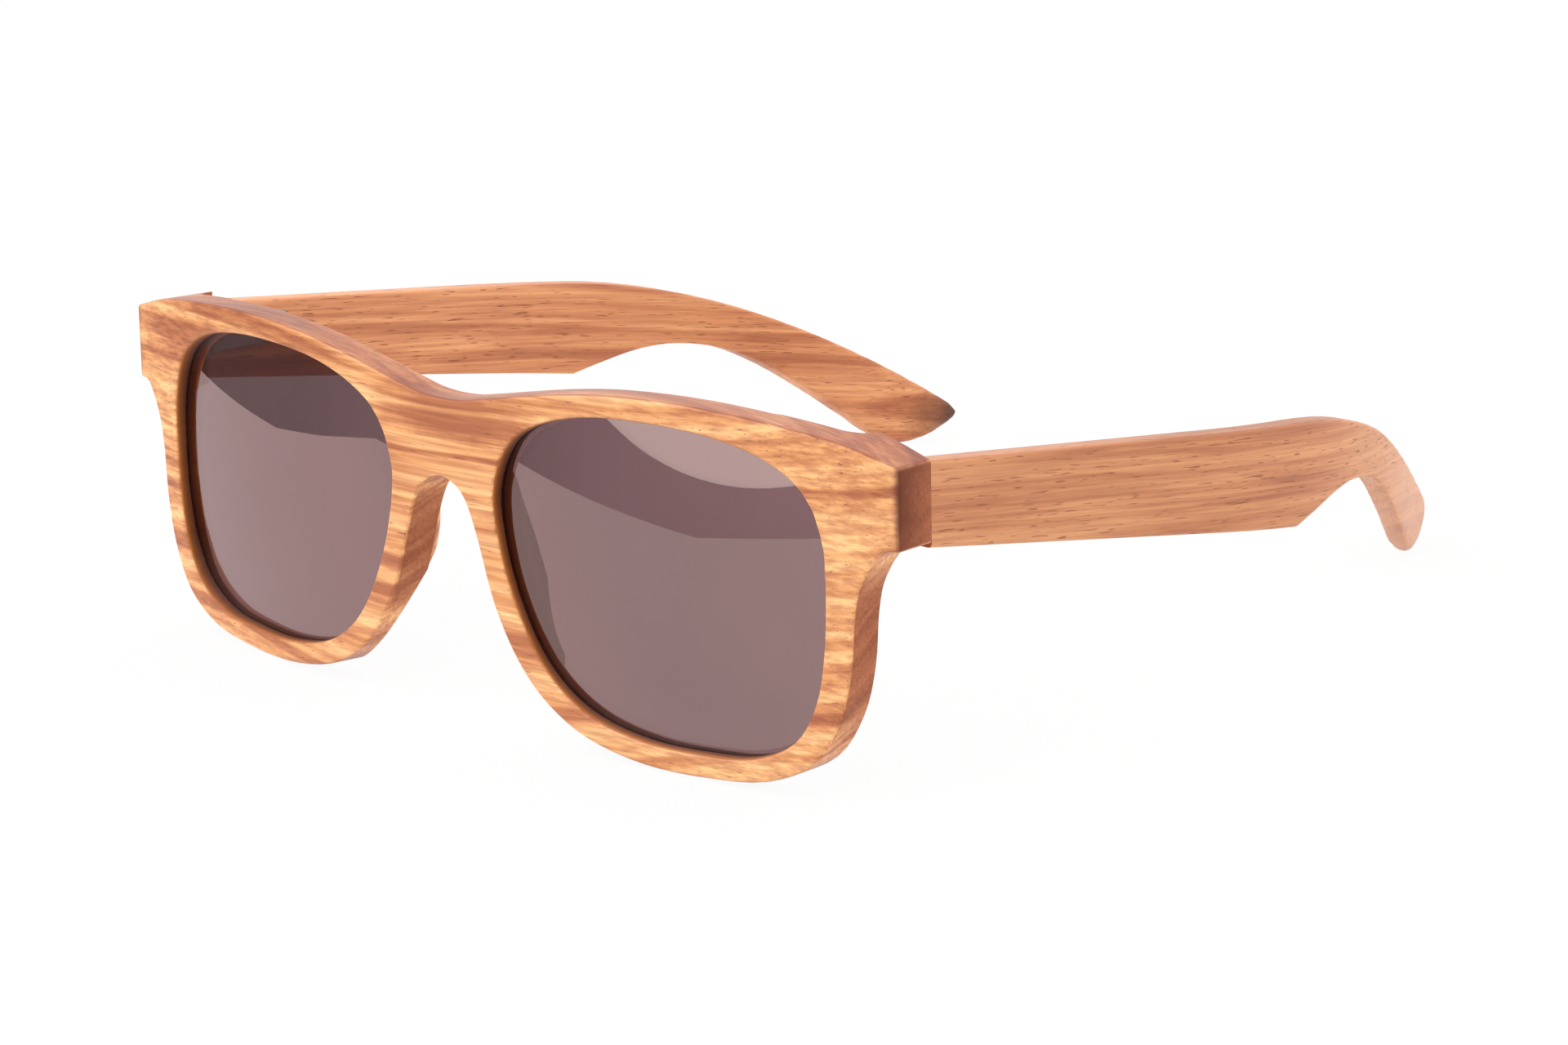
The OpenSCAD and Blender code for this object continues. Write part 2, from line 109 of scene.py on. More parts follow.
class Grain(Enum):
    """The way the wood's fibres run, as the turn in degrees that brings them onto X."""

    ACROSS_FRONT = (0.0, 1.0, 0.0)
    ALONG_TEMPLE = (9.0, 0.0, -90.0)

    @property
    def turn(self) -> Point:
        """The turn as Euler angles in radians."""
        return tuple(math.radians(angle) for angle in self.value)

    @property
    def axis(self) -> Point:
        """The fibres' direction in the piece's own space."""
        return (1.0, 0.0, 0.0) if self is Grain.ACROSS_FRONT else (0.0, 1.0, 0.0)


class NodeGraph:
    """Short calls that build one node tree."""

    def __init__(self, tree: bpy.types.NodeTree) -> None:
        """Starts from an empty tree.

        Args:
            tree: the tree of a material or of the world.
        """
        self.tree = tree
        tree.nodes.clear()

    def feed(self, socket: Socket, value: Any) -> None:
        """Links a socket to another one, or sets it.

        Args:
            socket: the input to fill.
            value: an output socket, a number, a colour or a vector.
        """
        if isinstance(value, bpy.types.NodeSocket):
            self.tree.links.new(value, socket)
        elif socket.type == "RGBA":
            socket.default_value = (*value, 1.0)
        else:
            socket.default_value = value

    def add(self, kind: str, inputs: dict[Any, Any] | None = None, **settings: Any) -> bpy.types.Node:
        """Adds one node.

        Args:
            kind: the node's type name.
            inputs: values for its inputs, by name or number.
            settings: the node's own settings.

        Returns:
            The new node.
        """
        node = self.tree.nodes.new(kind)
        for name, value in settings.items():
            setattr(node, name, value)
        for key, value in (inputs or {}).items():
            self.feed(node.inputs[key], value)
        return node

    def math(self, operation: str, *values: Any) -> Socket:
        """Adds a Math node.

        Args:
            operation: the node's operation.
            values: its inputs in order.

        Returns:
            The result.
        """
        return self.add("ShaderNodeMath", dict(enumerate(values)), operation=operation).outputs[0]

    def vector(self, operation: str, *values: Any) -> Socket:
        """Adds a Vector Math node.

        Args:
            operation: the node's operation.
            values: its inputs in order.

        Returns:
            The result, a number for a length or a dot product and a vector otherwise.
        """
        node = self.add("ShaderNodeVectorMath", dict(enumerate(values)), operation=operation)
        return node.outputs["Value" if operation in ("LENGTH", "DOT_PRODUCT") else "Vector"]

    def split(self, vector: Any) -> bpy.types.bpy_prop_collection:
        """Splits a vector into its outputs X, Y and Z.

        Args:
            vector: the vector to split.

        Returns:
            The three outputs by name.
        """
        return self.add("ShaderNodeSeparateXYZ", {0: vector}).outputs

    def noise(self, vector: Any, scale: float, detail: float = 3.0, roughness: float = 0.5) -> Socket:
        """Adds a three-dimensional noise.

        Args:
            vector: where it is read.
            scale: features per unit.
            detail: octaves.
            roughness: share of the finer octaves.

        Returns:
            The noise value, about 0.5 on average.
        """
        inputs = {"Vector": vector, "Scale": scale, "Detail": detail, "Roughness": roughness}
        return self.add("ShaderNodeTexNoise", inputs).outputs["Fac"]

    def ragged(self, value: Any, place: Any, scale: float, detail: float, amount: float) -> Socket:
        """Roughens a value with noise, which leaves it as it is on average.

        Args:
            value: the value to roughen.
            place: where the noise is read.
            scale: features per unit.
            detail: octaves.
            amount: how far apart the noise's lowest and highest results lie.

        Returns:
            The roughened value.
        """
        lowered = self.math("SUBTRACT", value, amount / 2)
        return self.math("MULTIPLY_ADD", self.noise(place, scale, detail), amount, lowered)

    def stretch(self, vector: Any, scale: Point) -> Socket:
        """Scales a vector along its axes.

        Args:
            vector: the vector to scale.
            scale: factors along X, Y and Z.

        Returns:
            The scaled vector.
        """
        return self.add("ShaderNodeMapping", {"Vector": vector, "Scale": scale}).outputs["Vector"]

    def span(self, value: Any, low: float, high: float, start: float = 0.0, end: float = 1.0) -> Socket:
        """Maps a value smoothly from one span to another.

        Args:
            value: the value to map.
            low: value that maps to start.
            high: value that maps to end.
            start: result at and below low.
            end: result at and above high.

        Returns:
            The mapped value.
        """
        inputs = {"Value": value, 1: low, 2: high, 3: start, 4: end}
        return self.add("ShaderNodeMapRange", inputs, interpolation_type="SMOOTHSTEP").outputs[0]

    def ramp(self, value: Any, stops: Sequence[tuple[float, Colour]]) -> Socket:
        """Adds a colour ramp.

        Args:
            value: the place on the ramp.
            stops: places and colours in order.

        Returns:
            The colour.
        """
        node = self.add("ShaderNodeValToRGB", {"Fac": value})
        while len(node.color_ramp.elements) < len(stops):
            node.color_ramp.elements.new(0.5)
        for element, (place, colour) in zip(node.color_ramp.elements, stops):
            element.position = place
            element.color = (*colour, 1.0)
        return node.outputs["Color"]

    def colour(self, red: Any, green: Any, blue: Any) -> Socket:
        """Makes a colour from its channels.

        Args:
            red: the red channel.
            green: the green channel.
            blue: the blue channel.

        Returns:
            The colour.
        """
        return self.add("ShaderNodeCombineColor", {0: red, 1: green, 2: blue}).outputs[0]

    def blend(self, factor: Any, first: Any, second: Any, mode: str = "MIX") -> Socket:
        """Mixes two colours.

        Args:
            factor: share of the second one.
            first: the first colour.
            second: the second colour.
            mode: the way they are mixed.

        Returns:
            The mixed colour.
        """
        node = self.add("ShaderNodeMix", data_type="RGBA", blend_type=mode)
        self.feed(node.inputs[0], factor)
        self.feed(node.inputs[6], first)
        self.feed(node.inputs[7], second)
        return node.outputs[2]


def new_material(name: str) -> tuple[bpy.types.Material, NodeGraph]:
    """Makes an empty material.

    Args:
        name: the finish's name.

    Returns:
        The material and the graph of its nodes.
    """
    material = bpy.data.materials.new(name)
    material.use_nodes = True
    return material, NodeGraph(material.node_tree)


def finish_surface(graph: NodeGraph, inputs: dict[Any, Any]) -> None:
    """Closes a graph with a Principled surface.

    Args:
        graph: the graph to close.
        inputs: values and links of the surface's inputs.
    """
    surface = graph.add("ShaderNodeBsdfPrincipled", inputs)
    graph.add("ShaderNodeOutputMaterial", {"Surface": surface.outputs[0]})


@dataclass(frozen=True)
class Patch:
    """A darker, paler or tinted patch in the wood, most grown into it and two on the temples painted
    highlight and painted shade: an ellipsoid in millimetres.
    """

    middle: Point
    reach: Point
    strength: float
    tint: Colour | None = None

    def share(self, graph: NodeGraph, place: Any) -> Socket:
        """How strongly the patch shows at a place.

        Args:
            graph: the graph to add to.
            place: the place in the piece's own space.

        Returns:
            The strength at the middle, falling to zero at the ragged reach.
        """
        scale = tuple(1.0 / (reach * MM) for reach in self.reach)
        shift = tuple(-middle / reach for middle, reach in zip(self.middle, self.reach))
        spot = graph.add("ShaderNodeMapping", {"Vector": place, "Location": shift, "Scale": scale})
        far = graph.vector("LENGTH", spot.outputs["Vector"])
        return graph.span(graph.ragged(far, place, 260.0, 3.0, 0.5), 0.15, 1.0, self.strength, 0.0)


@dataclass(frozen=True)
class Scorch:
    """Burnt walls of the lens openings, with painted shade that darkens them from brown at the bent face to
    black at the lens.
    """

    axis_at: Point
    axis: Point
    radius: float
    burnt_depth: float = 2 * MM
    cover: float = 0.94
    edge: Colour = (0.62, 0.22, 0.05)
    brown: Colour = (0.34, 0.11, 0.038)
    deep: Colour = (0.12, 0.048, 0.030)

    def over(self, graph: NodeGraph, place: Any, colour: Any) -> Socket:
        """Lays the burnt colour over the wood's, darkened deeper in the opening as painted shade.

        Args:
            graph: the graph to add to.
            place: the place in the piece's own space.
            colour: the wood's colour.

        Returns:
            The mixed colour.
        """
        away = graph.vector("SUBTRACT", place, self.axis_at)
        far = graph.vector("LENGTH", graph.vector("CROSS_PRODUCT", away, self.axis))
        depth = graph.math("DIVIDE", graph.math("SUBTRACT", self.radius, far), self.burnt_depth)
        patchy = graph.ragged(depth, place, 900.0, 2.0, 0.16)
        # Painted shade: the burnt colour darkens from brown to black with depth towards the lens.
        burnt_and_shaded = graph.ramp(patchy, [(0.14, self.edge), (0.40, self.brown), (0.78, self.deep)])
        wall = graph.add("ShaderNodeAttribute", attribute_name="scorch").outputs["Fac"]
        share = graph.math("MULTIPLY", wall, graph.span(depth, 0.03, 0.2, 0.0, self.cover))
        return graph.blend(share, colour, burnt_and_shaded)


@dataclass(frozen=True)
class WoodFinish:
    """Oiled streaky hardwood with open pores and dark end grain.

    The pitches count features per millimetre along the fibres and the two ways across them.
    """

    name: str
    grain: Grain
    light: Colour
    middle: Colour
    dark: Colour
    pore: Colour = (0.24, 0.062, 0.024)
    end: Colour = (0.20, 0.062, 0.029)
    end_pale: float = 2.3
    end_span: tuple[float, float] = (0.72, 0.985)
    # Painted shade: faces that look up or down have their colour scaled by this factor.
    edge_tone: float = 1.0
    start: Point = (0.0, 0.0, 0.0)
    streak_width: float = 3.0
    wander: float = 7.0
    depth_share: float = -0.45
    height_share: float = 0.9
    pore_share: float = 0.66
    lines: tuple[float, float] = (0.78, 1.14)
    fibres: tuple[float, float] = (0.91, 1.06)
    warmth: float = 1.55
    sway_pitch: Point = (0.012, 0.03, 0.03)
    fade_pitch: Point = (0.03, 0.15, 0.2)
    line_pitch: Point = (0.05, 1.7, 1.7)
    fibre_pitch: Point = (0.09, 5.0, 5.0)
    pore_pitch: Point = (0.34, 5.0, 5.0)
    speck_pitch: Point = (0.5, 3.0, 3.0)
    patches: Sequence[Patch] = ()
    scorch: Scorch | None = None
    bent_from: float | None = None
    bend_radius: float = 96 * MM

    def material(self) -> bpy.types.Material:
        """Builds the wood's nodes.

        Returns:
            The material.
        """
        material, graph = new_material(self.name)
        coordinate = graph.add("ShaderNodeTexCoord").outputs
        place, normal = coordinate["Object"], coordinate["Normal"]
        at = self.along_fibres(graph, place)
        fibre = graph.noise(graph.stretch(at, self.fibre_pitch), 1.0, 2.0, 0.6)
        cut = self.cut_across(graph, normal)
        pores = graph.math("MULTIPLY", self.pores(graph, at), graph.span(cut, 0.45, 0.8, 1.0, 0.2))
        streak = self.streaks(graph, at, place)
        colour = graph.ramp(streak, [(0.31, self.dark), (0.46, self.middle), (0.63, self.light)])
        colour = graph.blend(1.0, colour, self.tone(graph, at, fibre, normal), "MULTIPLY")
        colour = graph.blend(graph.math("MULTIPLY", pores, 0.78), colour, self.pore)
        ended = graph.span(cut, *self.end_span, 0.0, 0.95)
        colour = graph.blend(ended, colour, self.end_colour(graph, at, streak))
        for patch in self.patches:
            if patch.tint:
                colour = graph.blend(patch.share(graph, place), colour, patch.tint)
        if self.scorch:
            colour = self.scorch.over(graph, place, colour)
        height = graph.math("SUBTRACT", graph.math("MULTIPLY", fibre, 0.4), pores)
        bump = graph.add("ShaderNodeBump", {"Strength": 0.14, "Distance": 0.1 * MM, "Height": height})
        sanded = graph.span(fibre, 0.3, 0.7, 0.38, 0.47)
        finish_surface(graph, {"Base Color": colour, "Normal": bump.outputs[0],
                               "Roughness": graph.math("ADD", sanded, graph.math("MULTIPLY", pores, 0.2)),
                               "Specular IOR Level": graph.span(cut, *self.end_span, 0.45, 0.12),
                               "Coat Weight": 0.06, "Coat Roughness": 0.3})
        return material

    def along_fibres(self, graph: NodeGraph, place: Any) -> Socket:
        """The place in millimetres along and across the fibres.

        Args:
            graph: the graph to add to.
            place: the place in the piece's own space.

        Returns:
            The place with the fibres along X.
        """
        inputs = {"Vector": self.straightened(graph, place), "Location": self.start,
                  "Rotation": self.grain.turn, "Scale": (1000.0, 1000.0, 1000.0)}
        return graph.add("ShaderNodeMapping", inputs).outputs["Vector"]

    def straightened(self, graph: NodeGraph, place: Any) -> Socket:
        """Undoes the inward bend of a piece, so that its fibres follow the bend.

        Args:
            graph: the graph to add to.
            place: the place in the piece's own space.

        Returns:
            The place on the straight board.
        """
        if self.bent_from is None:
            return place
        part = graph.split(place)
        past = graph.math("MAXIMUM", graph.math("SUBTRACT", part["Y"], self.bent_from), 0.0)
        inward = graph.math("DIVIDE", graph.math("MULTIPLY", past, past), 2 * self.bend_radius)
        across = graph.math("MULTIPLY_ADD", inward, graph.math("SIGN", part["X"]), part["X"])
        return graph.add("ShaderNodeCombineXYZ", {0: across, 1: part["Y"], 2: part["Z"]}).outputs[0]

    def streaks(self, graph: NodeGraph, at: Any, place: Any) -> Socket:
        """The growth rings as streaks that wander along the fibres, with the plain patches.

        Args:
            graph: the graph to add to.
            at: the place along and across the fibres.
            place: the place in the piece's own space.

        Returns:
            A value from dark to light wood.
        """
        part = graph.split(at)
        sway = graph.noise(graph.stretch(at, self.sway_pitch), 1.0, 1.5, 0.4)
        high = graph.math("MULTIPLY", part["Z"], self.height_share)
        across = graph.math("MULTIPLY_ADD", part["Y"], self.depth_share, high)
        ring = graph.math("MULTIPLY_ADD", sway, self.wander * 2.0, across)
        inputs = {"W": graph.math("DIVIDE", ring, self.streak_width), "Scale": 1.0,
                  "Detail": 3.0, "Roughness": 0.6}
        line = graph.add("ShaderNodeTexNoise", inputs, noise_dimensions="1D").outputs["Fac"]
        fade = graph.noise(graph.stretch(at, self.fade_pitch), 1.0, 2.0)
        streak = graph.math("MULTIPLY_ADD", graph.math("SUBTRACT", fade, 0.5), 0.5, line)
        for patch in self.patches:
            if patch.tint is None:
                streak = graph.math("SUBTRACT", streak, patch.share(graph, place))
        return streak

    def tone(self, graph: NodeGraph, at: Any, fibre: Any, normal: Any) -> Socket:
        """The lighter and darker lines in the wood, with painted shade on faces that look up or down.

        Args:
            graph: the graph to add to.
            at: the place along and across the fibres.
            fibre: the noise of single fibres.
            normal: the surface's direction.

        Returns:
            A colour to multiply the wood's with, redder where it is darker.
        """
        line = graph.noise(graph.stretch(at, self.line_pitch), 1.0, 2.0, 0.5)
        tone = graph.math("MULTIPLY", graph.span(line, 0.3, 0.7, *self.lines),
                          graph.span(fibre, 0.3, 0.7, *self.fibres))
        # Painted shade: faces that look up or down are darkened, as where less light falls on them.
        upright = graph.math("ABSOLUTE", graph.split(normal)["Z"])
        tone = graph.math("MULTIPLY", tone, graph.span(upright, 0.55, 0.95, 1.0, self.edge_tone))
        warm = graph.math("POWER", tone, self.warmth)
        return graph.colour(tone, warm, warm)

    def pores(self, graph: NodeGraph, at: Any) -> Socket:
        """Short open pores along the fibres.

        Args:
            graph: the graph to add to.
            at: the place along and across the fibres.

        Returns:
            One in a pore and zero beside it.
        """
        dash = graph.noise(graph.stretch(at, self.pore_pitch), 1.0, 1.0, 0.4)
        return graph.span(dash, self.pore_share, self.pore_share + 0.08)

    def cut_across(self, graph: NodeGraph, normal: Any) -> Socket:
        """How far a surface cuts across the fibres.

        Args:
            graph: the graph to add to.
            normal: the surface's direction.

        Returns:
            One on end grain and zero along the fibres.
        """
        return graph.math("ABSOLUTE", graph.vector("DOT_PRODUCT", normal, self.grain.axis))

    def end_colour(self, graph: NodeGraph, at: Any, streak: Any) -> Socket:
        """Colour of the end grain, with its rings and specks.

        Args:
            graph: the graph to add to.
            at: the place along and across the fibres.
            streak: the rings.

        Returns:
            The colour.
        """
        speck = graph.noise(graph.stretch(at, self.speck_pitch), 1.0, 2.0, 0.6)
        value = graph.math("MULTIPLY_ADD", streak, 0.4, graph.math("MULTIPLY", speck, 0.6))
        paler = tuple(channel * self.end_pale for channel in self.end)
        return graph.ramp(value, [(0.3, self.end), (0.7, paler)])


@dataclass(frozen=True)
class LensFinish:
    """Smoke lens: glossy, see-through and a little mauve, with faint smears."""

    name: str = "smoke_lens"
    tint: Colour = (0.291, 0.159, 0.170)
    slant_share: float = 0.30
    gleam: Colour = (1.0, 0.84, 0.73)
    slant_gleam: Colour = (2.1, 1.2, 1.15)
    index: float = 1.8

    def material(self) -> bpy.types.Material:
        """Builds the lens's nodes, darker where it is seen at a slant.

        Returns:
            The material.
        """
        material, graph = new_material(self.name)
        place = graph.add("ShaderNodeTexCoord").outputs["Object"]
        slant = graph.add("ShaderNodeLayerWeight", {"Blend": 0.5}).outputs["Facing"]
        slant_tint = tuple(channel * self.slant_share for channel in self.tint)
        slanted = graph.ramp(slant, [(0.0, self.tint), (0.45, slant_tint)])
        gleam = graph.ramp(slant, [(0.30, self.gleam), (0.42, self.slant_gleam)])
        cloud = graph.span(graph.noise(place, 60.0, 2.0), 0.35, 0.65, 0.97, 1.03)
        colour = graph.blend(1.0, slanted, graph.colour(cloud, cloud, cloud), "MULTIPLY")
        smears = graph.span(graph.noise(place, 140.0, 3.0), 0.4, 0.75, 0.0, 0.025)
        finish_surface(graph, {"Base Color": colour, "Roughness": smears, "IOR": self.index,
                               "Transmission Weight": 1.0, "Specular Tint": gleam})
        return material


@dataclass(frozen=True)
class SteelFinish:
    """Brushed steel with faint streaks along one axis."""

    name: str
    pale: Colour = (0.52, 0.50, 0.47)
    deep: Colour = (0.40, 0.38, 0.36)
    rough: tuple[float, float] = (0.28, 0.38)
    brush: Point = (2500.0, 300.0, 4000.0)

    def material(self) -> bpy.types.Material:
        """Builds the steel's nodes.

        Returns:
            The material.
        """
        material, graph = new_material(self.name)
        place = graph.add("ShaderNodeTexCoord").outputs["Object"]
        line = graph.noise(graph.stretch(place, self.brush), 1.0, 3.0, 0.6)
        colour = graph.ramp(line, [(0.3, self.deep), (0.7, self.pale)])
        bump = graph.add("ShaderNodeBump", {"Strength": 0.05, "Distance": 0.01 * MM, "Height": line})
        finish_surface(graph, {"Base Color": colour, "Metallic": 1.0, "Normal": bump.outputs[0],
                               "Roughness": graph.span(line, 0.3, 0.7, *self.rough)})
        return material


@dataclass
class Dresser:
    """Gives copies of the frame's nodes their softer shape, their body and their finish."""

    frame: dict[str, Any]
    flat: float = math.radians(0.2)
    made: list[str] = field(default_factory=list)

    def body_of(self, node: str) -> str:
        """Finds the body that carries a node.

        Args:
            node: the node's name.

        Returns:
            The body's name.
        """
        bodies = self.frame["record"]["behaviour"]["bodies"]
        return next(body for body, nodes in bodies.items() if node in nodes)

    def merged(self, node: str) -> bmesh.types.BMesh:
        """Copies a node's mesh with its loose triangles joined and its flat faces whole.

        Args:
            node: the node's name.

        Returns:
            The joined mesh.
        """
        shape = bmesh.new()
        shape.from_mesh(self.frame["nodes"][node].data)
        bmesh.ops.remove_doubles(shape, verts=shape.verts, dist=JOIN)
        bmesh.ops.dissolve_degenerate(shape, edges=shape.edges, dist=JOIN)
        bmesh.ops.dissolve_limit(shape, angle_limit=self.flat, verts=shape.verts, edges=shape.edges)
        return shape

    def place(self, name: str, shape: bmesh.types.BMesh, node: str, material: bpy.types.Material,
              sharp: float = SHARP) -> bpy.types.Object:
        """Turns a shape into the piece that stands for a node.

        Args:
            name: the piece's name.
            shape: its mesh, which is freed.
            node: the node that it replaces.
            material: its finish.
            sharp: edges above this angle in degrees stay sharp.

        Returns:
            The piece.
        """
        mesh = bpy.data.meshes.new(name)
        shape.to_mesh(mesh)
        shape.free()
        mesh.materials.clear()
        mesh.materials.append(material)
        mesh.shade_smooth()
        settle_normals(mesh, math.radians(sharp))
        piece = bpy.data.objects.new(name, mesh)
        bpy.context.scene.collection.objects.link(piece)
        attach(piece, self.body_of(node))
        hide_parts(node)
        self.made.append(name)
        return piece

    def paint(self, node: str, material: bpy.types.Material) -> None:
        """Gives a node that stays as it is its finish.

        Args:
            node: the node's name.
            material: its finish.
        """
        data = self.frame["nodes"][node].data
        data.materials.clear()
        data.materials.append(material)
        self.made.append(node)


def settle_normals(mesh: bpy.types.Mesh, limit: float) -> None:
    """Shades each face corner by the faces that meet there smoothly, weighed by their areas.

    Args:
        mesh: the mesh to shade.
        limit: faces that turn by more than this angle stay apart.
    """
    least = 1e-12
    count = len(mesh.polygons)
    normals = np.empty(count * 3)
    areas = np.empty(count)
    sizes = np.empty(count, np.int32)
    vertex = np.empty(len(mesh.loops), np.int32)
    mesh.polygons.foreach_get("normal", normals)
    mesh.polygons.foreach_get("area", areas)
    mesh.polygons.foreach_get("loop_total", sizes)
    mesh.loops.foreach_get("vertex_index", vertex)
    face = np.repeat(np.arange(count), sizes)
    normals = normals.reshape(-1, 3)
    order = np.argsort(vertex, kind="stable")
    corner = np.empty((len(vertex), 3))
    for loops in np.split(order, np.flatnonzero(np.diff(vertex[order])) + 1):
        own = normals[face[loops]]
        weight = (own @ own.T > math.cos(limit)) * (areas[face[loops]] + least)
        corner[loops] = weight @ own
    corner /= np.maximum(np.linalg.norm(corner, axis=1, keepdims=True), least)
    mesh.normals_split_custom_set(corner.tolist())


def middle_of(edge: bmesh.types.BMEdge) -> Vector:
    """The middle of an edge.

    Args:
        edge: the edge.

    Returns:
        The point halfway along it.
    """
    return (edge.verts[0].co + edge.verts[1].co) / 2


def round_over(shape: bmesh.types.BMesh, radius: float, chosen: Callable[[bmesh.types.BMEdge], bool]) -> int:
    """Rounds over the sharp outer edges of a shape.

    Args:
        shape: the mesh to change.
        radius: width of the rounding.
        chosen: says whether an edge is one of them.

    Returns:
        The number of edges rounded.
    """
    corners = [edge for edge in shape.edges if len(edge.link_faces) == 2 and edge.is_convex]
    edges = [edge for edge in corners if edge.calc_face_angle() > math.radians(SHARP) and chosen(edge)]
    bmesh.ops.bevel(shape, geom=edges, offset=radius, offset_type="OFFSET", segments=4, profile=0.5,
                    affect="EDGES", material=-1, clamp_overlap=False, loop_slide=True)
    return len(edges)


def split_faces(shape: bmesh.types.BMesh) -> None:
    """Cuts the faces with more than four corners into triangles.

    Args:
        shape: the mesh to change.
    """
    bmesh.ops.triangulate(shape, faces=[face for face in shape.faces if len(face.verts) > 4])


def mend(shape: bmesh.types.BMesh, passes: int = 4) -> None:
    """Removes slivers, doubled faces and flaps that close no volume.

    Args:
        shape: the mesh to change.
        passes: how often faces are looked for at the most.
    """
    bmesh.ops.remove_doubles(shape, verts=shape.verts, dist=JOIN)
    bmesh.ops.dissolve_degenerate(shape, edges=shape.edges, dist=SLIVER)
    between = [vert for vert in shape.verts if len(vert.link_edges) == 2]
    bmesh.ops.dissolve_verts(shape, verts=between)
    LOG.info("mended %d points", len(between))
    split_faces(shape)
    for _ in range(passes):
        seen: dict[frozenset, bmesh.types.BMFace] = {}
        stray = set()
        for face in shape.faces:
            twin = seen.setdefault(frozenset(face.verts), face)
            if twin is not face:
                stray |= {face, twin}
            if any(len(edge.link_faces) == 1 for edge in face.edges):
                stray.add(face)
        if not stray:
            break
        bmesh.ops.delete(shape, geom=list(stray), context="FACES")


BRIDGE = ((2.0, -67.0, 39.2), (22.0, 9.0, 4.6))
BRIDGE_BROWN = (0.40, 0.12, 0.045)
END_BROWN = (0.125, 0.027, 0.009)
# Three on the bridge, two on the end faces, and single ones on endpieces, brow and lower rim.
FRONT_PATCHES = (
    Patch(*BRIDGE, 0.26),
    Patch(*BRIDGE, 0.4, BRIDGE_BROWN),
    Patch((0.0, -67.0, 33.0), (16.0, 9.0, 3.2), -0.10),
    *(Patch((side.value * 72.9, -56.0, 40.0), (1.5, 70.0, 34.0), 1.0, END_BROWN) for side in Side),
    Patch((-62.0, -61.0, 39.5), (15.0, 12.0, 5.0), 0.14),
    Patch((60.0, -61.0, 33.0), (20.0, 12.0, 9.0), -0.05),
    Patch((-41.0, -64.0, 44.0), (28.0, 12.0, 4.2), 0.20),
    Patch((47.0, -65.0, 2.5), (24.0, 12.0, 6.0), -0.16),
)


